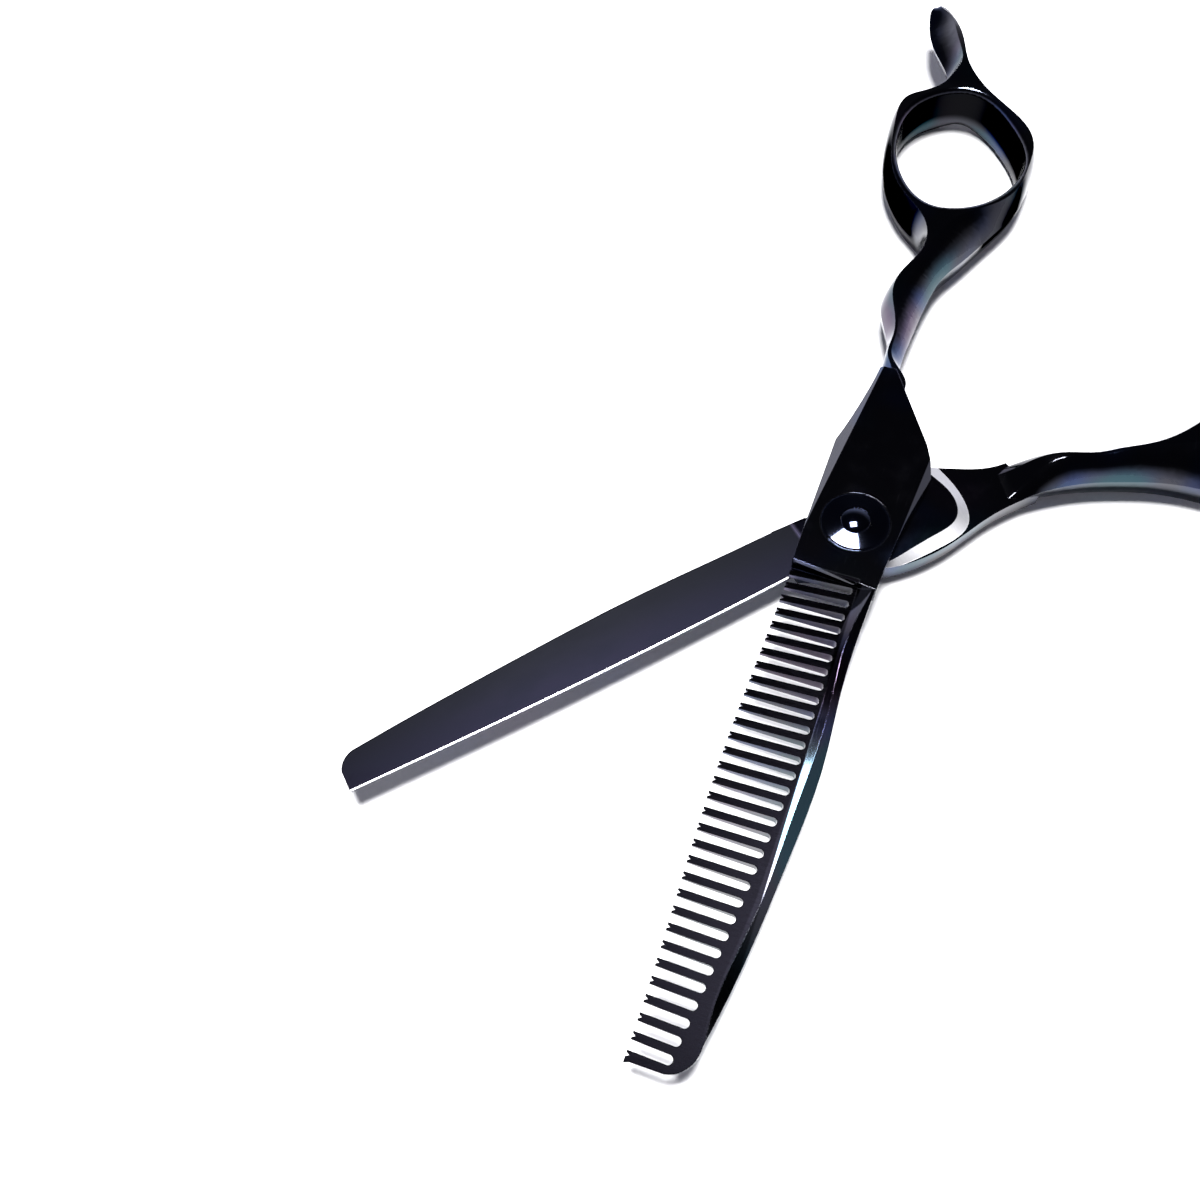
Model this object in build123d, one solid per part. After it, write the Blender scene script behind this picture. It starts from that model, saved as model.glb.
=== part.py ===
from build123d import *
import math
import os

# Thinning shears, shown open. Millimetres, +Z up.
# Origin: on the pivot axis, at the surface the shears lie on. +X runs from the
# pivot to the comb blade's tip, along the line of the tooth tips.

os.makedirs("parts", exist_ok=True)

# ---- driving dimensions --------------------------------------------------
part_z = 4.0              # height of the parting plane between the two halves
blade_gap = 0.06          # gap between the two inner faces
comb_t = 3.0              # thickness of the comb half at the pivot
straight_t = 3.0          # thickness of the straight half at the pivot
rest_open = 42.94         # angle between the two edges in the pose shown
thumb_swing = 17.5        # thumb handle's angle off the straight blade's line
blade_len = 70.3          # pivot to comb tip
straight_len = 71.5       # pivot to straight tip

# comb
edge_y = -6.05            # line of the tooth tips at both ends of the comb
edge_bow = 0.72           # how far that line bows out between them
bow_start = 6.0           # where the bow starts, measured from the pivot
bow_end = 2.3             # where it ends, measured back from the comb tip
tooth_pitch = 1.971
slot_w = 1.06
slot_root = 2.28          # y of the slots' closed ends, over the first half of the comb
first_slot_x = 9.3
end_tooth = 1.8           # from the last slot's middle to the comb tip, at least
step_x = 7.7              # where the ricasso steps down to the comb, at the tooth tips
step_slant = 0.104        # how much further out that step is for each mm towards the spine
tip_t = 0.5               # thickness at the tooth tips
notch_w = 0.42            # V notch in each tooth tip
notch_d = 0.38

# straight blade
straight_edge_y = 1.5     # offset of the cutting edge from the pivot axis
straight_bow = 0.55       # how far the cutting edge bows out along the blade
straight_drift = 0.4      # how much further out the cutting edge is at the tip
hone_w = 0.2              # bright honed strip along the cutting edge
hone_d = 0.044
crescent_drop = 0.55      # how far the face behind the ride is lowered

# rings
ring_top = 3.5            # above the parting plane
finger_rim = 0.8          # radius of the finger ring's rims
thumb_hole_a = 12.6       # half length of the thumb hole
thumb_hole_b = 10.0       # half width of the thumb hole
thumb_wall = 2.1          # wall of the thumb ring at its middle height
thumb_lean = 0.9          # how far its top and bottom edges draw in
thumb_reach = 64.0        # pivot to the thumb ring's centre
thumb_rim = 0.8

# pivot hardware, on the Z axis
post_d = 3.8              # pivot post, whose crown shows in the middle of the dial
run_fit = 0.02            # radial running clearance
flange_d = 8.6
flange_t = 1.8
flange_sunk = 0.8         # depth of the flange in the straight half
bush_wall = 0.55
web_t = 0.75              # comb half's floor under the bearing
race_t = 0.2
race_d = 8.4
ball_d = 0.6
ball_count = 12
ball_circle_d = 6.8
cage_t = 0.3
cage_ball_fit = 0.05
dial_d = 8.8
dial_bore_fit = 0.05      # radial play of the dial round the post
dial_side_fit = 0.08      # radial gap between the dial and its seat
spring_h = 0.3            # height of the click spring
spring_t = 0.1
click_count = 24
washer_d = 9.0
washer_t = 0.24
crown_rise = 0.75         # crown of the post above the comb half's top
crown_r = 4.4             # radius of its domed top
crown_edge = 0.15         # rounding of the crown's edge
cone_rise = 0.35          # how far the dial's cone rises from its rim to the post
key_d = 1.0
key_r = 2.9               # distance of the key pin from the axis

spanner_hole_d = 0.9
spanner_hole_r = 2.9
spanner_hole_deep = 0.6

# motion and bumper
closing = 39.0            # how far the straight half turns from rest to closed
bumper_d = 4.6
bumper_len = 4.2
stud_d = 1.6
stud_sunk = 1.3
stud_in_rubber = 2.2

# ---- heights worked out from them ----------------------------------------
slot_count = 1 + int((blade_len - end_tooth - first_slot_x) / tooth_pitch)
comb_low = part_z + blade_gap / 2
comb_top = part_z + comb_t
straight_high = part_z - blade_gap / 2
straight_low = part_z - straight_t
flange_top = straight_low + flange_sunk
flange_low = flange_top - flange_t
web_top = comb_low + web_t
race_low_top = web_top + race_t
race_up_low = race_low_top + ball_d
race_up_top = race_up_low + race_t
spring_top = race_up_top + spring_h
dial_low = spring_top + 0.02
ring_high = part_z + ring_top
bush_bore_r = post_d / 2 + run_fit
bush_r = bush_bore_r + bush_wall
seat_r = dial_d / 2 + dial_side_fit
race_seat_r = race_d / 2
key_low = flange_top - 0.9
key_high = flange_top + 1.1
notch_r = dial_d / 2 - 0.75       # circle of the dial's click notches


def cyl(radius, low, high, x=0.0, y=0.0):
    """A round bar standing on Z between two heights."""
    return Pos(x, y, (low + high) / 2) * Cylinder(radius, high - low)


def tube(outer, inner, low, high):
    return cyl(outer, low, high) - cyl(inner, low - 1, high + 1)


def slab(outline, low, high):
    """A closed plan outline raised between two heights."""
    face = make_face(outline)
    return extrude(Pos(0, 0, low) * face, amount=high - low)


def bow(p, q, rise):
    """An edge from p to q that bows outwards by a share of its length."""
    mid = (Vector(*p) + Vector(*q)) / 2
    run = Vector(*q) - Vector(*p)
    out = Vector(0, -run.Z, run.Y)
    return ThreePointArc(p, mid + out * rise, q)


def handle_section(x, left, ridge_l, ridge_r, right, low, side, top, rise):
    """Six-cornered section across a handle, at one x.

    left, ridge_l, ridge_r and right are the y of the side edge, the two top
    ridges and the other side edge; low, side and top are heights over the
    parting plane; rise bows the broad face between ridge_r and right.
    """
    inset = min(1.0, 0.2 * (right - left))
    z_low = part_z + low
    z_side = part_z + side
    z_top = part_z + top
    corners = [
        (x, left, z_side),
        (x, ridge_l, z_top),
        (x, ridge_r, z_top),
        (x, right, z_side),
        (x, right - inset, z_low),
        (x, left + inset, z_low),
    ]
    rises = [0.05, 0.0, rise, 0.05, 0.0, 0.05]
    return ring_face(corners, rises)


def free_section(x, corners, rises):
    """Six-cornered section with every corner given as y and height."""
    return ring_face([(x, y, part_z + z) for y, z in corners], rises)


def ring_face(corners, rises):
    edges = []
    for i, rise in enumerate(rises):
        p = corners[i]
        q = corners[(i + 1) % len(corners)]
        if abs(rise) < 1e-6:
            edges.append(Line(p, q))
        else:
            edges.append(bow(p, q, rise))
    return Face(Wire(edges))


def cut_ring(body, outline, rim):
    """Cut a finger hole straight through and round both of its rims."""
    cutter = slab(outline, -5, ring_high + 5)
    wall = cutter.faces().filter_by(Axis.Z, reverse=True)[0]
    ring = body - cutter
    rims = [e for e in ring.edges() if all(wall.distance_to(Vector(e @ u)) < 0.01 for u in (0.2, 0.5, 0.8))]
    level = [e for e in rims if abs((e @ 0).Z - (e @ 1).Z) < 2]
    return fillet(level, rim)


# ---- comb half -----------------------------------------------------------
# x, then y of left edge, two ridges and right edge, then low, side and top
# heights over the parting plane, then the bow of the broad right-hand face
finger_handle = [
    (-23, -3.5, -2.8, 0.9, 1.3, 0.05, 1.3, 2.95, 0.02),
    (-28, -3.05, -2.65, -2.0, -0.6, -0.8, 0.9, 2.97, 0.08),
    (-32, -3.4, -2.85, -2.5, -0.55, -2.2, 0.5, 2.95, 0.12),
    (-36, -4.9, -3.6, -3.2, -0.3, -3.0, 0.2, 3.0, 0.15),
    (-40, -6.1, -4.9, -4.4, 0.0, -3.5, 0.0, 3.1, 0.16),
    (-44, -5.5, -4.6, -4.1, 0.5, -3.7, 0.0, 3.2, 0.16),
    (-48, -3.9, -3.0, -2.4, 1.5, -3.85, 0.0, 3.35, 0.15),
    (-52, -3.1, -2.7, -1.3, 3.5, -part_z, -0.1, ring_top - 0.05, 0.13),
    (-55, -4.3, -3.8, -0.3, 4.9, -part_z, -0.2, ring_top, 0.11),
    (-58, -7.2, -6.3, 1.9, 6.3, -part_z, -0.2, ring_top, 0.08),
    (-61, -9.6, -9.0, 5.5, 7.7, -part_z, -0.2, ring_top, 0.06),
    (-65, -11.8, -11.1, 8.0, 9.1, -part_z, -0.2, ring_top, 0.04),
    (-70, -13.2, -12.4, 8.7, 9.7, -part_z, -0.2, ring_top, 0.04),
    (-76, -14.1, -13.2, 8.4, 9.4, -part_z, -0.2, ring_top, 0.04),
    (-80, -14.1, -13.2, 6.2, 7.2, -part_z, -0.2, ring_top, 0.04),
    (-82, -13.3, -12.3, 4.2, 5.3, -part_z, -0.2, ring_top, 0.04),
    (-84, -10.8, -9.8, 1.9, 3.0, -part_z, -0.2, ring_top, 0.04),
    (-86, -8.7, -7.9, -0.3, 0.8, -3.6, -0.1, ring_top, 0.04),
    (-88.5, -7.5, -6.9, -2.6, -1.9, -1.6, 0.8, 3.6, 0.04),
]

# the finger rest: x, then six corners as y and height over the parting plane
finger_rest = [
    (-92, [(-8.3, 1.2), (-6.1, 4.0), (-5.0, 3.9), (-4.9, 2.2), (-5.6, 0.6), (-7.9, 0.0)]),
    (-96, [(-10.9, 1.5), (-7.4, 4.2), (-6.5, 4.1), (-6.3, 2.9), (-7.2, 1.6), (-10.4, 0.5)]),
    (-100, [(-12.8, 1.7), (-8.9, 4.1), (-8.1, 4.0), (-8.0, 3.0), (-9.0, 1.8), (-12.3, 0.8)]),
    (-104, [(-13.8, 2.1), (-10.9, 3.7), (-10.4, 3.6), (-10.4, 2.9), (-11.2, 2.1), (-13.3, 1.4)]),
    (-106.3, [(-13.6, 2.6), (-12.6, 3.15), (-12.4, 3.1), (-12.3, 2.8), (-12.7, 2.5), (-13.4, 2.3)]),
]
finger_hole = [(-58.6, -1.6), (-62.8, 5.4), (-71, 8.0), (-79.4, 4.3), (-85.3, -3.6),
               (-81.4, -9.9), (-73, -11.8), (-63.7, -9.1)]


def finger_loop():
    sections = [handle_section(*row) for row in finger_handle]
    sections += [free_section(x, corners, [-0.08, 0, 0.04, 0.05, 0, 0.05]) for x, corners in finger_rest]
    return cut_ring(loft(sections), Spline(*finger_hole, periodic=True), finger_rim)


def comb_ricasso():
    """The thick flat round the pivot, from the waist to the first tooth."""
    edge_end = (step_x, edge_line(step_x))
    spine_end = (step_x + step_slant * (comb_spine[0][1] - edge_end[1]), comb_spine[0][1])
    outline = Wire([
        Spline((-26, -3.15), (-20, -4.1), (-13, -5.9), tangents=[(1, -0.1), (1, -0.35)]),
        Line((-13, -5.9), edge_end),
        Line(edge_end, spine_end),
        Spline(spine_end, (-2, 6.05), (-10, 7.6), tangents=[(-1, 0.06), (-1, 0.2)]),
        Line((-10, 7.6), (-12, 7.0)),
        Spline((-12, 7.0), (-17, 4.75), (-22, 2.1), (-26, 0.1), tangents=[(-1, -0.42), (-1, -0.5)]),
        Line((-26, 0.1), (-26, -3.15)),
    ])
    left_facet = Plane(origin=(-12, -4.3, comb_top), x_dir=(1, -0.115, 0), z_dir=(-0.115, -1, 1.2))
    right_facet = Plane(origin=(-4, 6.05, comb_top), x_dir=(1, -0.085, 0), z_dir=(0.085, 1, 1.2))
    left_waist = Plane(origin=(-26, -2.85, comb_top), x_dir=(1, -0.25, 0), z_dir=(-0.25, -1, 0.8))
    right_waist = Plane(origin=(-26, -0.95, comb_top), x_dir=(1, 0.6, 0), z_dir=(-0.6, 1, 0.5))
    flat = slab(outline, comb_low, comb_top)
    for facet in (left_facet, right_facet, left_waist, right_waist):
        flat -= facet * Pos(0, 0, 5) * Box(60, 60, 10)
    return flat


# section of the comb blade: share of the way from its root to the tip, then y and
# height of the plate's inner edge, of the crest's outer edge and of the spine's edge
comb_blade_rows = [
    (0.0, 2.3, 1.75, 3.6, 2.75, 5.2, 2.35),
    (0.125, 2.35, 1.8, 3.5, 2.6, 4.9, 2.2),
    (0.246, 2.5, 1.8, 3.4, 2.1, 4.7, 1.5),
    (0.399, 2.75, 1.75, 3.65, 1.83, 5.1, 0.75),
    (0.497, 2.4, 1.7, 3.3, 1.74, 4.8, 0.6),
    (0.623, 2.2, 1.6, 2.95, 1.62, 4.3, 0.5),
    (0.759, 1.6, 1.38, 2.0, 1.4, 3.4, 0.45),
    (0.891, 0.95, 1.2, 1.2, 1.2, 2.5, 0.4),
    (1.022, -0.1, 1.0, 0.1, 1.0, 1.5, 0.35),
]
comb_spine_rows = [(0.136, 4.5), (0.257, 4.4), (0.404, 4.9), (0.591, 4.2), (0.778, 2.95), (0.934, 1.3)]


def blade_at(share):
    """x at a share of the way from the blade's root, inside the ricasso, to the tip."""
    root = step_x - 1.7
    return root + share * (blade_len - root)


comb_spine = [(step_x - 0.2, 4.95)] + [(blade_at(share), y) for share, y in comb_spine_rows]


def edge_line(x):
    """y of the tooth-tip line, which bows out gently along the comb."""
    along = (x - bow_start) / (blade_len - bow_end - bow_start)
    return edge_y - edge_bow * math.sin(math.pi * along) ** 2


def comb_blade():
    """The toothed plate with its raised crest and bevelled spine."""
    sections = []
    for share, y_in, z_in, y_crest, z_crest, y_out, z_out in comb_blade_rows:
        x = blade_at(share)
        low_y = edge_y - edge_bow - 0.4
        corners = [
            (x, low_y, comb_low),
            (x, low_y, comb_low + tip_t * 0.9),
            (x, y_in, part_z + z_in),
            (x, y_crest, part_z + z_crest),
            (x, y_out, part_z + z_out),
            (x, y_out, comb_low),
        ]
        sections.append(Face(Wire(Polyline(*corners, close=True))))
    root_x = comb_spine[0][0]
    tips = [root_x + (blade_len - 1 - root_x) * i / 5 for i in range(6)]
    tips = [(x, edge_line(x)) for x in tips]
    tip_corner = (blade_len, edge_y)
    tip_end = (blade_len - 0.4, -1.7)
    outline = Wire([
        Spline(*comb_spine),
        ThreePointArc(comb_spine[-1], (blade_len - 1.4, 0.2), tip_end),
        Line(tip_end, (blade_len - 0.25, edge_y + 0.6)),
        Line((blade_len - 0.25, edge_y + 0.6), tip_corner),
        Line(tip_corner, tips[-1]),
        Spline(*reversed(tips)),
        Line(tips[0], comb_spine[0]),
    ])
    return loft(sections) & slab(outline, comb_low, comb_top)


def tooth_slots():
    """The gaps between the teeth, each with a round root."""
    half = slot_w / 2
    cuts = []
    for i in range(slot_count):
        x = first_slot_x + i * tooth_pitch
        root = slot_root_y(x) - half
        cuts.append(Pos(x, (root + edge_y - 3) / 2, part_z) * Box(slot_w, root - edge_y + 3, 12))
        cuts.append(cyl(half, part_z - 6, part_z + 6, x, root))
    return Compound(cuts)


def slot_root_y(x):
    """Slots stay even near the pivot, then follow the spine to the tip."""
    past = max(0.0, x / blade_len - 0.49)
    return slot_root - 5.48 * past - 3.46 * past**2


def tip_notches():
    """A small V across each tooth tip, which holds the hair."""
    cuts = []
    for i in range(slot_count):
        x = first_slot_x + (i + 0.5) * tooth_pitch
        y = edge_line(x)
        notch = Polyline((x - notch_w, y - notch_d), (x + notch_w, y - notch_d), (x, y + notch_d), close=True)
        cuts.append(slab(notch, part_z - 1, part_z + 3))
    return Compound(cuts)


def comb_half():
    half = finger_loop() + comb_ricasso() + comb_blade()
    half -= tooth_slots()
    half -= tip_notches()
    half -= cyl(bush_r, 0, comb_top + 1)
    half -= cyl(race_seat_r, web_top, comb_top + 1)
    half -= cyl(seat_r, race_up_top, comb_top + 1)
    return half


# ---- straight half -------------------------------------------------------
# Drawn with its cutting edge along X, then turned to the pose shown.
# share of the blade's length, then y of the spine and depths of back and ridge
straight_rows = [
    (0.04, -5.8, 2.7, 2.9),
    (0.17, -5.7, 2.2, 2.5),
    (0.42, -5.7, 1.7, 2.2),
    (0.7, -5.0, 1.2, 1.7),
    (1.02, -3.2, 0.75, 1.0),
]
straight_root = 4.0       # where the straight blade starts, measured from the pivot


def cutting_line(x):
    """y of the cutting edge, which bows out gently from the root to the tip."""
    along = (x - straight_root) / (straight_len - straight_root)
    return straight_edge_y + straight_bow * math.sin(math.pi * min(along, 1.0)) + straight_drift * along


def straight_blade():
    """Flat inner face, honed edge, convex back with a ridge."""
    sections = []
    for share, y_spine, z_back, z_ridge in straight_rows:
        x = share * straight_len
        y_edge = cutting_line(x)
        corners = [
            (x, y_edge + 0.3, straight_high),
            (x, y_edge + 0.3, straight_high - 0.12),
            (x, y_edge - 2.1, part_z - z_back),
            (x, y_spine * 0.55, part_z - z_ridge),
            (x, y_spine + 0.45, part_z - z_back * 0.85),
            (x, y_spine, part_z - z_back * 0.45),
            (x, y_spine, straight_high),
        ]
        sections.append(Face(Wire(Polyline(*corners, close=True))))
    edge = [straight_root + (straight_len - straight_root) * i / 5 for i in range(6)]
    edge = [(x, cutting_line(x)) for x in edge]
    root_spine = (straight_root, -5.2)
    tip_spine = (straight_len - 2.3, -3.05)
    spine = [(0.67 * straight_len, -4.6), (0.39 * straight_len, -5.4), (0.17 * straight_len, -5.3)]
    outline = Wire([
        Spline(*edge),
        Line(edge[-1], (straight_len + 0.1, -1.0)),
        ThreePointArc((straight_len + 0.1, -1.0), (straight_len - 0.6, -2.25), tip_spine),
        Spline(tip_spine, *spine, root_spine, tangents=[(-1, -0.1), (-1, 0.06)]),
        Line(root_spine, edge[0]),
    ])
    blade = loft(sections) & slab(outline, straight_low, straight_high)
    top = blade.faces().sort_by(Axis.Z)[-1]
    honed = [e for e in top.edges() if e.length > 0.8 * (straight_len - straight_root) and (e @ 0.5).Y > 0]
    return chamfer(honed, hone_w, hone_d, reference=top)


def straight_ricasso():
    """The flat round the pivot, with the sloping crescent behind it."""
    outline = Wire([
        Line((9, straight_edge_y), (9, -5.4)),
        Spline((9, -5.4), (4, -5.1), (-5, -5.4), (-12.5, -5.15), (-15.6, -3.7), (-19, -1.6), (-24, 0.1),
               tangents=[(-1, 0.03), (-1, 0.1)]),
        Line((-24, 0.1), (-25, 6.2)),
        Spline((-25, 6.2), (-17, 6.1), (-10.4, 7.1), (-2, 6.5), (4, 4.2), (9, straight_edge_y),
               tangents=[(1, -0.1), (1, -0.6)]),
    ])
    flat = slab(outline, straight_low, straight_high)
    return flat - crescent_cut()


def crescent_cut():
    """Lowers the face behind the ride, with a slope between two curves."""
    inner = [(-13.6, -7.5), (-14.3, -2), (-14.5, 2.0), (-13.4, 4.2), (-8.4, 5.2), (-2, 5.7), (3, 5.6)]
    outer = [(-15.2, -8.5), (-15.9, -2.6), (-15.8, 2.2), (-14.2, 5.6), (-9, 6.9), (-2.4, 6.7), (3, 6.1)]
    drop = crescent_drop
    low = part_z - drop
    high = part_z + 0.4
    rise = 1 + (0.4 + blade_gap / 2) / (drop - blade_gap / 2)
    lifted = [(o[0] + (i[0] - o[0]) * rise, o[1] + (i[1] - o[1]) * rise) for i, o in zip(inner, outer)]
    ends = [(6, -20), (-40, -20), (-40, 20), (6, 20)]
    faces = []
    for points, z in ((outer, low), (lifted, high)):
        line = Spline(*points)
        back = Polyline(points[-1], (points[-1][0], 20), (-40, 20), (-40, -20), (points[0][0], -20), points[0])
        faces.append(Pos(0, 0, z) * make_face(Wire([line] + list(back.edges()))))
    return loft(faces, ruled=True)


# rows as finger_handle, in a frame turned so the thumb ring lies on -X
thumb_handle = [
    (-18, -6.4, -5.4, -0.6, 0.4, -3.0, -1.4, -0.75, 0.03),
    (-21, -6.5, -5.5, -1.4, -0.6, -3.1, -1.2, -0.6, 0.04),
    (-24, -6.7, -5.6, -3.0, -1.2, -3.2, -0.4, 0.6, 0.06),
    (-27, -6.9, -5.5, -4.2, -1.5, -3.3, 0.0, 2.3, 0.1),
    (-31, -6.3, -4.7, -4.1, -1.5, -3.5, 0.1, 2.9, 0.13),
    (-36, -5.8, -4.1, -3.6, -0.8, -3.7, 0.0, 3.1, 0.14),
    (-41, -5.7, -4.0, -3.3, 0.4, -3.85, 0.0, 3.3, 0.13),
    (-46, -6.8, -5.2, -2.8, 2.6, -part_z, -0.1, ring_top - 0.05, 0.11),
    (-50, -8.2, -7.0, -1.0, 5.2, -part_z, -0.2, ring_top, 0.08),
    (-54, -9.6, -8.6, 3.6, 8.0, -part_z, -0.2, ring_top, 0.05),
    (-57, -10.2, -9.2, 6.6, 9.4, -part_z, -0.2, ring_top, 0.04),
]


def thumb_loop():
    half_a = thumb_hole_a + thumb_wall
    half_b = thumb_hole_b + thumb_wall
    low_side = ring_high / 2
    levels = [(0, thumb_lean), (low_side, 0), (ring_high, thumb_lean)]
    ovals = [Pos(-thumb_reach, 0, z) * Ellipse(half_a - lean, half_b - lean) for z, lean in levels]
    hole = Pos(-thumb_reach, 0, 0) * Ellipse(thumb_hole_a, thumb_hole_b)
    rim = Pos(-thumb_reach, 0, 0) * Ellipse(thumb_hole_a + thumb_rim, thumb_hole_b + thumb_rim)
    ring = cut_ring(loft(ovals), hole.edges()[0], thumb_rim)
    shank = loft([handle_section(*row) for row in thumb_handle])
    return ring + (shank - slab(rim.edges()[0], -5, ring_high + 5))


def bumper_seat():
    """Where the bumper meets the thumb ring's wall, looking out along +X."""
    half_a = thumb_hole_a + thumb_wall
    half_b = thumb_hole_b + thumb_wall
    lean = math.radians(thumb_swing + rest_open - closing)
    out = Vector(math.sin(lean), -math.cos(lean), 0)
    reach = math.hypot(half_a * out.X, half_b * out.Y)
    foot = Vector(-thumb_reach + half_a**2 * out.X / reach, half_b**2 * out.Y / reach, ring_high / 2)
    return Plane(origin=foot, x_dir=(0, 0, 1), z_dir=out)


def turned(shape, angle):
    return Rot(0, 0, -angle) * shape


def straight_half():
    half = straight_blade() + straight_ricasso()
    half += turned(thumb_loop() - bumper_seat() * cyl(stud_d / 2, -stud_sunk, 5), thumb_swing)
    half -= cyl(post_d / 2, 0, part_z + 1)
    half -= cyl(flange_d / 2, straight_low - 1, flange_top)
    half -= cyl(washer_d / 2 + run_fit, straight_high - washer_t, part_z + 1)
    half -= cyl(key_d / 2, flange_top, key_high, key_r, 0)
    return turned(half, rest_open)


def bumper():
    """Rubber stop that quiets the closing stroke, on the thumb ring."""
    dome = cyl(bumper_d / 2, 0.05, bumper_len)
    dome = fillet(dome.edges().group_by(Axis.Z)[-1], bumper_d * 0.4)
    dome = dome - cyl(stud_d / 2, -1, stud_in_rubber)
    return placed_on_thumb(dome)


def bumper_stud():
    return placed_on_thumb(cyl(stud_d / 2, -stud_sunk, stud_in_rubber))


def placed_on_thumb(shape):
    return turned(bumper_seat() * shape, thumb_swing + rest_open)


# ---- pivot hardware ------------------------------------------------------
def pivot_post():
    """Flanged post fixed in the straight half; its crown shows in the dial."""
    crown = comb_top + crown_rise
    shaft = cyl(post_d / 2, flange_low, crown) & Pos(0, 0, crown - crown_r) * Sphere(crown_r)
    circles = shaft.edges().filter_by(lambda e: e.is_closed)
    shaft = fillet(circles.sort_by(Axis.Z)[-1], crown_edge)
    shaft += cyl(post_d / 2, flange_low, comb_low)
    flange = cyl(flange_d / 2, flange_low, flange_top)
    flange = fillet(flange.edges().group_by(Axis.Z)[0], 0.35)
    post = shaft + flange
    for side in (-1, 1):
        post -= cyl(spanner_hole_d / 2, flange_low - 1, flange_low + spanner_hole_deep, 0, side * spanner_hole_r)
    post -= cyl(key_d / 2, key_low, flange_top + 1, key_r, 0)
    return turned(post, rest_open)


def key_pin():
    return turned(cyl(key_d / 2, key_low, key_high, key_r, 0), rest_open)


def ball_ring():
    ball = Pos(ball_circle_d / 2, 0, race_low_top + ball_d / 2) * Sphere(ball_d / 2)
    return Compound([Rot(0, 0, 360 / ball_count * i) * ball for i in range(ball_count)])


def ball_cage():
    mid = race_low_top + ball_d / 2
    cage = tube(race_seat_r - 0.1, bush_r + 0.1, mid - cage_t / 2, mid + cage_t / 2)
    for i in range(ball_count):
        angle = math.tau / ball_count * i
        x = ball_circle_d / 2 * math.cos(angle)
        y = ball_circle_d / 2 * math.sin(angle)
        cage -= cyl(ball_d / 2 + cage_ball_fit, mid - 1, mid + 1, x, y)
    return cage


def click_spring():
    """Flat ring keyed on the post with three arms that rise to the dial."""
    hub = tube(post_d / 2 + 0.9, post_d / 2, race_up_top, race_up_top + spring_t)
    arm_low = race_up_top
    arm_tip = spring_top
    root = post_d / 2 + 0.6
    tip = notch_r + 0.1
    side = Polyline((root, arm_low), (root + 0.3, arm_low), (tip, arm_tip - spring_t), (tip, arm_tip),
                    (tip - 0.25, arm_tip), (root, arm_low + spring_t), close=True)
    arm = extrude(Plane.XZ * make_face(side), amount=0.45, both=True)
    spring = hub
    for i in range(3):
        spring += Rot(0, 0, 120 * i) * arm
    return spring


def tension_dial():
    """Low cone round the post; click notches on its hidden underside."""
    half = dial_d / 2
    bore = post_d / 2 + dial_bore_fit
    rim = 0.1
    profile = Wire([
        Line((bore, dial_low), (half, dial_low)),
        Line((half, dial_low), (half, comb_top - rim)),
        ThreePointArc((half, comb_top - rim), (half - rim * 0.3, comb_top - rim * 0.3), (half - rim, comb_top)),
        Line((half - rim, comb_top), (half - 0.4, comb_top)),
        Line((half - 0.4, comb_top), (bore, comb_top + cone_rise)),
        Line((bore, comb_top + cone_rise), (bore, dial_low)),
    ])
    dial = revolve(Plane.XZ * make_face(profile), Axis.Z)
    cuts = []
    for i in range(click_count):
        cut = Pos(notch_r, 0, dial_low) * Box(0.9, 0.28, 0.2)
        cuts.append(Rot(0, 0, 360 / click_count * i) * cut)
    return dial - Compound(cuts)


def thrust_race(low, high, inner):
    return tube(race_seat_r, inner, low, high)


nodes = {
    "comb_half": comb_half,
    "straight_half": straight_half,
    "pivot_post": pivot_post,
    "post_key_pin": key_pin,
    "pivot_bush": lambda: tube(bush_r, bush_bore_r, comb_low, race_up_low - 0.06),
    "ride_washer": lambda: tube(washer_d / 2, post_d / 2 + run_fit, straight_high - washer_t, comb_low - 0.01),
    "lower_race": lambda: thrust_race(web_top, race_low_top, bush_r + run_fit),
    "bearing_balls": ball_ring,
    "ball_cage": ball_cage,
    "upper_race": lambda: tube(race_seat_r - 0.05, post_d / 2, race_up_low, race_up_top),
    "click_spring": click_spring,
    "tension_dial": tension_dial,
    "bumper": bumper,
    "bumper_stud": bumper_stud,
}

for name, make in nodes.items():
    export_step(make(), f"parts/{name}.step")
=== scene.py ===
import math

import bpy
from mathutils import Matrix, Vector


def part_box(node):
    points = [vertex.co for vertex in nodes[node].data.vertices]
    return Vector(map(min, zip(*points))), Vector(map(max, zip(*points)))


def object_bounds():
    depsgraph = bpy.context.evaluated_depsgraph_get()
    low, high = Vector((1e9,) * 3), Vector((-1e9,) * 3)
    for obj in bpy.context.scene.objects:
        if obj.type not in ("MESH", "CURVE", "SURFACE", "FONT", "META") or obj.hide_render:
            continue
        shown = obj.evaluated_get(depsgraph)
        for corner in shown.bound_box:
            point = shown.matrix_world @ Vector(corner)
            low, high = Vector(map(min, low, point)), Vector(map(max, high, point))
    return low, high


# Looks of the thinning shears: black-coated steel on a pale table. Metres.

MM = 0.001

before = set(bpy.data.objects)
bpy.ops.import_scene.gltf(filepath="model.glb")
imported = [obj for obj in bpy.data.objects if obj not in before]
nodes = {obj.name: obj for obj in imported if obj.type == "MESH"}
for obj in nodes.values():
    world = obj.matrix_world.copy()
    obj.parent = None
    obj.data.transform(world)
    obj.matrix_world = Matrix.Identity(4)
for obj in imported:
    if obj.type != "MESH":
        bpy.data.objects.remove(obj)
cad_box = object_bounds()

# ---- places read from the frame --------------------------------------------
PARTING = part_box("ride_washer")[1].z      # the washer's top, just above the plane between the halves
STRAIGHT_TURN = math.radians(42.94)       # clockwise from +X to the straight blade
BLADE_START = 8 * MM                      # where the comb blade leaves its ricasso
# box of the finger ring whose walls get painted shade in the comb's coating
FINGER_RING_X = (-90 * MM, -56 * MM)
FINGER_RING_Y = (-13.5 * MM, 9 * MM)

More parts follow.
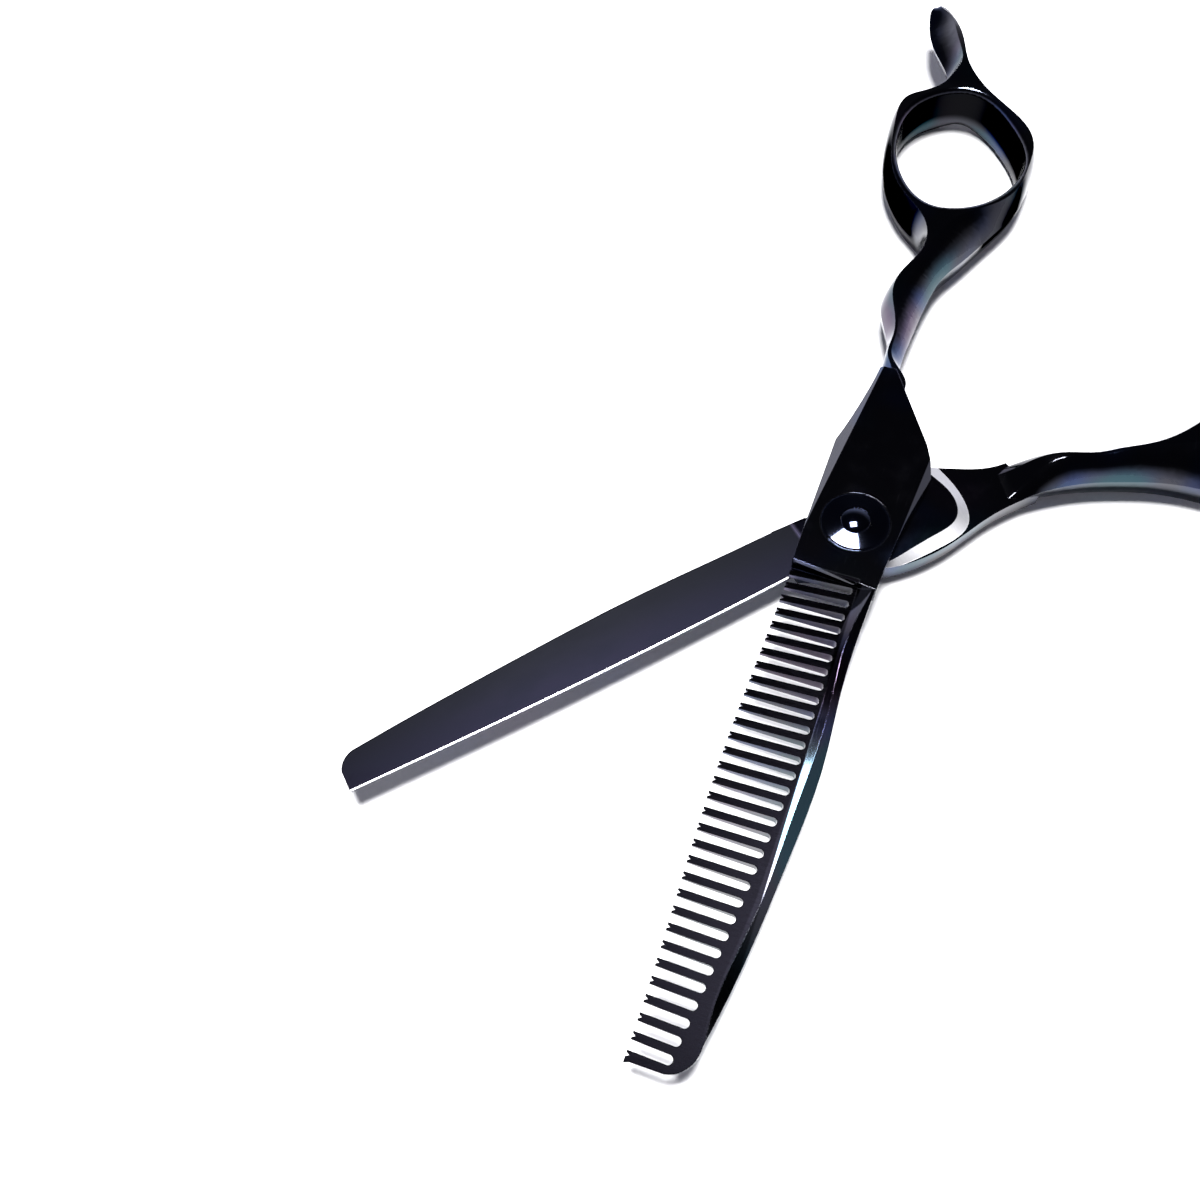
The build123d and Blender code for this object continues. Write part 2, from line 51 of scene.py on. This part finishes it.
# ---- light and camera ------------------------------------------------------
KEY_PLACE = (-0.38, -0.15, 2.0)
KEY_SIZE = (0.62, 0.7)
KEY_POWER = 105                           # watts; it over-exposes the table, as a product shot does
TABLE_DROP = 0.01 * MM                    # gap that keeps the table out of the lowest faces
TABLE_HALF = 3.0
SKY_HORIZON = (1.8, 1.8, 1.95, 1)
SKY_STEPS = ((0.12, 1.3), (0.28, 0.8), (0.42, 0.3), (0.56, 0.04))   # sine of the height, brightness
SKY_TOP = (0.66, (0.02, 0.02, 0.03, 1))
SKY_SIDES = (1.35, 0.75)                  # how much brighter or darker it is towards -Y and +Y
CAMERA_PLACE = Vector((77.29, 4.55, 125.44)) * MM
CAMERA_AIM = Vector((-0.41693, -0.23519, -0.87798))
CAMERA_UP = Vector((-0.83656, -0.27844, 0.47185))
CAMERA_LENS = 32.07


# ---- node helpers ----------------------------------------------------------
class Shader:
    """A node material under construction, with short ways to add nodes."""

    def __init__(self, name):
        self.material = bpy.data.materials.new(name)
        self.material.use_nodes = True
        self.tree = self.material.node_tree
        self.bsdf = self.tree.nodes["Principled BSDF"]
        self.coords = self.tree.nodes.new("ShaderNodeTexCoord")

    def node(self, kind, **settings):
        made = self.tree.nodes.new("ShaderNode" + kind)
        for key, value in settings.items():
            setattr(made, key, value)
        return made

    def feed(self, socket, value):
        """Sets a socket to a number or colour, or links an output to it."""
        if isinstance(value, bpy.types.NodeSocket):
            self.tree.links.new(value, socket)
        elif isinstance(value, (tuple, list)) and len(value) == 3 and socket.type == "RGBA":
            socket.default_value = (*value, 1)
        else:
            socket.default_value = value

    def math(self, operation, a, b=0.0):
        made = self.node("Math", operation=operation)
        self.feed(made.inputs[0], a)
        self.feed(made.inputs[1], b)
        return made.outputs[0]

    def ramp(self, value, low, high, out_low=0.0, out_high=1.0):
        """Runs smoothly from out_low to out_high as value goes from low to high."""
        made = self.node("MapRange", interpolation_type="SMOOTHSTEP")
        for socket, x in zip(made.inputs, (value, low, high, out_low, out_high)):
            self.feed(socket, x)
        return made.outputs[0]

    def between(self, value, low, high, soft):
        """A mask that is 1 between low and high, with soft edges."""
        rise = self.ramp(value, low - soft, low + soft)
        fall = self.ramp(value, high - soft, high + soft, 1.0, 0.0)
        return self.math("MULTIPLY", rise, fall)

    def all_of(self, *masks):
        out = masks[0]
        for mask in masks[1:]:
            out = self.math("MULTIPLY", out, mask)
        return out

    def split(self, vector):
        made = self.node("SeparateXYZ")
        self.feed(made.inputs[0], vector)
        return made.outputs

    def turned(self, vector, angle):
        """A vector turned about Z."""
        made = self.node("VectorRotate", rotation_type="Z_AXIS")
        self.feed(made.inputs["Vector"], vector)
        made.inputs["Angle"].default_value = angle
        return made.outputs[0]

    def stretched(self, vector, scale):
        made = self.node("VectorMath", operation="MULTIPLY")
        self.feed(made.inputs[0], vector)
        made.inputs[1].default_value = scale
        return made.outputs[0]

    def noise(self, vector, size, detail=3.0, rough=0.55):
        """Noise with features of about that size in metres."""
        made = self.node("TexNoise")
        self.feed(made.inputs["Vector"], vector)
        made.inputs["Scale"].default_value = 1 / size
        made.inputs["Detail"].default_value = detail
        made.inputs["Roughness"].default_value = rough
        return made.outputs["Fac"]

    def mix(self, mask, a, b):
        """Colour a where the mask is 0 and b where it is 1."""
        made = self.node("Mix", data_type="RGBA")
        self.feed(made.inputs[0], mask)
        self.feed(made.inputs[6], a)
        self.feed(made.inputs[7], b)
        return made.outputs[2]

    def blend(self, mask, a, b):
        """Number a where the mask is 0 and b where it is 1."""
        made = self.node("Mix", data_type="FLOAT")
        self.feed(made.inputs[0], mask)
        self.feed(made.inputs[2], a)
        self.feed(made.inputs[3], b)
        return made.outputs[0]

    def surface(self, colour, rough, height=None, depth=0.002 * MM, round_edge=None):
        """Joins colour, roughness, relief and softened edges to the shader."""
        self.feed(self.bsdf.inputs["Base Color"], colour)
        self.feed(self.bsdf.inputs["Roughness"], rough)
        normal = None
        if round_edge:
            bevel = self.node("Bevel", samples=4)
            bevel.inputs["Radius"].default_value = round_edge
            normal = bevel.outputs[0]
        if height is not None:
            bump = self.node("Bump")
            bump.inputs["Distance"].default_value = depth
            self.feed(bump.inputs["Height"], height)
            if normal:
                self.feed(bump.inputs["Normal"], normal)
            normal = bump.outputs[0]
        if normal:
            self.feed(self.bsdf.inputs["Normal"], normal)
        return self.material


# ---- materials -------------------------------------------------------------
COAT_BLACK = (0.050, 0.051, 0.060)
COAT_BLUE = (0.036, 0.052, 0.115)
COAT_VIOLET = (0.075, 0.056, 0.088)
COAT_TEAL = (0.034, 0.066, 0.080)
BARE_STEEL = (0.62, 0.62, 0.66)


def coat_colour(s, place):
    """Black coating with slow blue, violet and teal interference tints."""
    blue = s.ramp(s.noise(place, 11 * MM, 1.0), 0.46, 0.68)
    violet = s.ramp(s.noise(s.stretched(place, (1.3, 0.9, 1.0)), 17 * MM, 1.0), 0.5, 0.72)
    teal = s.ramp(s.noise(s.stretched(place, (0.8, 1.2, 2.0)), 14 * MM, 1.0), 0.54, 0.74)
    colour = s.mix(blue, COAT_BLACK, COAT_BLUE)
    colour = s.mix(violet, colour, COAT_VIOLET)
    return s.mix(teal, colour, COAT_TEAL)


def handling_marks(s, place):
    """Faint smudges and hairlines, as added roughness."""
    smudge = s.ramp(s.noise(place, 5 * MM, 4.0), 0.45, 0.8, 0.0, 0.05)
    hairs = s.ramp(s.noise(s.stretched(place, (0.15, 2.5, 1.0)), 0.5 * MM, 2.0), 0.62, 0.8, 0.0, 0.05)
    return s.math("ADD", smudge, hairs)


def comb_coating():
    """Glossy coat, satin on the toothed plate, and painted shade on the upper part of the finger
    ring's walls that face the blades.
    """
    s = Shader("comb_coating")
    s.bsdf.inputs["Metallic"].default_value = 1.0
    place = s.coords.outputs["Object"]
    x, y, z = s.split(place)
    nx, _, nz = s.split(s.coords.outputs["Normal"])
    colour = coat_colour(s, place)
    plate = s.all_of(
        s.between(x, BLADE_START, 80 * MM, 0.1 * MM),
        s.between(y, -9 * MM, 2.7 * MM, 0.1 * MM),
        s.ramp(nz, 0.7, 0.9),
    )
    grain = s.noise(s.stretched(place, (3.0, 0.4, 1.0)), 0.5 * MM, 4.0)
    satin = s.mix(grain, (0.0006, 0.0006, 0.0009), (0.0013, 0.0012, 0.0018))
    colour = s.mix(plate, colour, satin)
    # painted shade: the upper part of the finger ring's upright walls that face the blades is
    # darkened, in place of the darker reflection a rounder inner wall would give
    ring_wall_painted_shade = s.all_of(
        s.between(x, *FINGER_RING_X, 1 * MM),
        s.between(y, *FINGER_RING_Y, 0.5 * MM),
        s.ramp(nx, -0.2, 0.3),
        s.ramp(nz, 0.2, 0.7, 1.0, 0.0),
        s.ramp(z, 1 * MM, 3 * MM),
    )
    # painted shade: these walls are darkened and lose their grazing reflection
    colour = s.mix(ring_wall_painted_shade, colour, s.mix(0.93, colour, (0, 0, 0)))
    s.feed(s.bsdf.inputs["Specular Tint"], s.mix(ring_wall_painted_shade, (1, 1, 1), (0, 0, 0)))
    rough = s.math("ADD", 0.07, handling_marks(s, place))
    rough = s.blend(plate, rough, s.ramp(grain, 0.3, 0.7, 0.2, 0.3))
    relief = s.blend(plate, s.noise(place, 1.2 * MM, 2.0), grain)
    return s.surface(colour, rough, relief, 0.0015 * MM, 0.12 * MM)


def straight_coating():
    """Glossy coat with a lapped inner face, a honed edge and a bare crescent."""
    s = Shader("straight_coating")
    place = s.coords.outputs["Object"]
    blade = s.turned(place, STRAIGHT_TURN)
    x, y, z = s.split(blade)
    _, ny, nz = s.split(s.turned(s.coords.outputs["Normal"], STRAIGHT_TURN))
    level = s.ramp(nz, 0.993, 0.998)
    at_top = s.ramp(z, PARTING - 0.14 * MM, PARTING - 0.1 * MM)
    along_blade = s.ramp(x, 5.5 * MM, 6.5 * MM)
    face = s.all_of(level, at_top, along_blade)

    mottle = s.noise(s.stretched(blade, (0.7, 1.6, 1.0)), 4 * MM, 5.0, 0.65)
    lap = s.noise(s.stretched(blade, (2.2, 0.5, 1.0)), 0.35 * MM, 3.0)
    towards_edge = s.ramp(y, -5 * MM, 2 * MM)
    lapped = s.mix(mottle, (0.0034, 0.0030, 0.0060), (0.0044, 0.0048, 0.0082))
    lapped = s.mix(towards_edge, (0.0036, 0.0038, 0.0052), lapped)

    honed = s.all_of(
        s.between(ny, 0.12, 0.5, 0.05),
        s.between(nz, 0.85, 0.995, 0.005),
        s.ramp(z, PARTING - 0.25 * MM, PARTING - 0.2 * MM),
        s.ramp(x, 6 * MM, 7 * MM),
    )
    ride_slope = s.all_of(
        s.between(nz, 0.80, 0.985, 0.005),
        s.between(z, PARTING - 0.62 * MM, PARTING - 0.06 * MM, 0.02 * MM),
        s.ramp(x, 4 * MM, 5 * MM, 1.0, 0.0),
        s.ramp(x, -18 * MM, -17 * MM),
    )
    bare = s.math("MAXIMUM", honed, ride_slope)
    steel = s.mix(lap, BARE_STEEL, (0.78, 0.78, 0.80))

    colour = s.mix(face, coat_colour(s, place), lapped)
    colour = s.mix(bare, colour, steel)
    rough = s.math("ADD", 0.07, handling_marks(s, place))
    rough = s.blend(face, rough, s.ramp(mottle, 0.3, 0.7, 0.36, 0.42))
    rough = s.blend(bare, rough, 0.38)
    s.feed(s.bsdf.inputs["Metallic"], s.blend(bare, 1.0, 0.92))
    relief = s.blend(s.math("MAXIMUM", face, bare), s.noise(place, 1.2 * MM, 2.0), lap)
    return s.surface(colour, rough, relief, 0.0015 * MM, 0.12 * MM)


def turned_coating():
    """Black coating over lathe-turned steel: fine rings round the pivot."""
    s = Shader("turned_coating")
    s.bsdf.inputs["Metallic"].default_value = 1.0
    place = s.coords.outputs["Object"]
    rings = s.node("TexWave", wave_type="RINGS", rings_direction="Z")
    s.feed(rings.inputs["Vector"], place)
    rings.inputs["Scale"].default_value = 1 / (0.6 * MM)
    rings.inputs["Distortion"].default_value = 0.4
    colour = s.mix(s.noise(place, 4 * MM, 1.0), COAT_BLACK, COAT_BLUE)
    rough = s.math("ADD", 0.06, handling_marks(s, place))
    return s.surface(colour, rough, rings.outputs["Fac"], 0.0003 * MM, 0.06 * MM)


def plain_metal(name, dark, light, rough):
    """Uncoated metal with a fine ground grain."""
    s = Shader(name)
    s.bsdf.inputs["Metallic"].default_value = 1.0
    place = s.coords.outputs["Object"]
    grain = s.noise(s.stretched(place, (1.0, 1.0, 4.0)), 0.3 * MM, 4.0)
    colour = s.mix(grain, dark, light)
    return s.surface(colour, s.ramp(grain, 0.3, 0.7, rough, rough + 0.1), grain, 0.001 * MM)


def soft_plastic(name, dark, light, rough):
    """Moulded polymer or rubber with a fine pebbled skin."""
    s = Shader(name)
    place = s.coords.outputs["Object"]
    pebble = s.noise(place, 0.18 * MM, 3.0)
    wear = s.noise(place, 1.5 * MM, 3.0)
    colour = s.mix(wear, dark, light)
    return s.surface(colour, s.ramp(wear, 0.3, 0.7, rough, rough + 0.12), pebble, 0.01 * MM)


def dress_nodes():
    """Gives every CAD node its finish."""
    steel = plain_metal("bearing_steel", (0.50, 0.50, 0.52), (0.66, 0.66, 0.68), 0.16)
    finishes = {
        "comb_half": comb_coating(),
        "straight_half": straight_coating(),
        "tension_dial": turned_coating(),
        "lower_race": steel,
        "upper_race": steel,
        "bearing_balls": steel,
        "post_key_pin": steel,
        "bumper_stud": steel,
        "click_spring": plain_metal("spring_steel", (0.32, 0.28, 0.22), (0.45, 0.41, 0.34), 0.22),
        "pivot_bush": plain_metal("bush_bronze", (0.50, 0.31, 0.15), (0.62, 0.42, 0.22), 0.25),
        "ball_cage": plain_metal("cage_brass", (0.62, 0.46, 0.20), (0.74, 0.58, 0.30), 0.22),
        "ride_washer": soft_plastic("slide_polymer", (0.52, 0.51, 0.47), (0.66, 0.65, 0.60), 0.4),
        "bumper": soft_plastic("bumper_rubber", (0.012, 0.012, 0.013), (0.030, 0.030, 0.032), 0.5),
    }
    finishes["pivot_post"] = finishes["tension_dial"]
    for name, material in finishes.items():
        mesh = nodes[name].data
        mesh.materials.clear()
        mesh.materials.append(material)


# ---- table, light and camera -----------------------------------------------
def make_floor():
    """A pale, slightly glossy table top."""
    s = Shader("table_top")
    place = s.coords.outputs["Object"]
    cloud = s.noise(place, 60 * MM, 3.0)
    colour = s.mix(cloud, (0.88, 0.88, 0.90), (0.92, 0.92, 0.93))
    s.surface(colour, 0.3)
    half = TABLE_HALF
    mesh = bpy.data.meshes.new("table_top")
    corners = [(-half, -half, 0), (half, -half, 0), (half, half, 0), (-half, half, 0)]
    mesh.from_pydata(corners, [], [(0, 1, 2, 3)])
    mesh.materials.append(s.material)
    table = bpy.data.objects.new("table_top", mesh)
    table.location.z = cad_box[0].z - TABLE_DROP
    bpy.context.scene.collection.objects.link(table)


def make_key_light():
    """One soft rectangular light overhead, aimed at the pivot."""
    lamp = bpy.data.lights.new("overhead", "AREA")
    lamp.shape = "RECTANGLE"
    lamp.size, lamp.size_y = KEY_SIZE
    lamp.energy = KEY_POWER
    box = bpy.data.objects.new("overhead", lamp)
    box.location = KEY_PLACE
    box.rotation_mode = "QUATERNION"
    box.rotation_quaternion = (-Vector(KEY_PLACE)).to_track_quat("-Z", "X")
    bpy.context.scene.collection.objects.link(box)


def make_world():
    """A white room: bright round the horizon, dark overhead, lighter towards -Y."""
    world = bpy.data.worlds.new("studio")
    bpy.context.scene.world = world
    world.use_nodes = True
    tree = world.node_tree
    coords = tree.nodes.new("ShaderNodeTexCoord")
    split = tree.nodes.new("ShaderNodeSeparateXYZ")
    ramp = tree.nodes.new("ShaderNodeValToRGB")
    tree.links.new(coords.outputs["Generated"], split.inputs[0])
    tree.links.new(split.outputs["Z"], ramp.inputs[0])
    tree.links.new(ramp.outputs[0], tree.nodes["Background"].inputs[0])
    side = tree.nodes.new("ShaderNodeMapRange")
    for socket, value in zip(side.inputs, (0, -1, 1, *SKY_SIDES)):
        socket.default_value = value
    tree.links.new(split.outputs["Y"], side.inputs[0])
    tree.links.new(side.outputs[0], tree.nodes["Background"].inputs[1])
    stops = ramp.color_ramp.elements
    stops[0].position = 0.0
    stops[0].color = SKY_HORIZON
    stops[1].position, stops[1].color = SKY_TOP
    for position, level in SKY_STEPS:
        stop = stops.new(position)
        stop.color = (level, level, level * 1.15, 1)


def make_camera():
    """Close above the comb's tip, looking back towards the pivot."""
    aim = CAMERA_AIM.normalized()
    right = aim.cross(CAMERA_UP).normalized()
    up = right.cross(aim)
    data = bpy.data.cameras.new("camera")
    data.sensor_width = 36
    data.lens = CAMERA_LENS
    data.clip_start = 0.005
    data.clip_end = 20
    camera = bpy.data.objects.new("camera", data)
    turn = Matrix((right, up, -aim)).transposed().to_4x4()
    camera.matrix_world = Matrix.Translation(CAMERA_PLACE) @ turn
    bpy.context.scene.collection.objects.link(camera)
    bpy.context.scene.camera = camera


dress_nodes()
make_floor()
make_world()
make_key_light()
make_camera()
bpy.context.scene.view_settings.view_transform = "Standard"
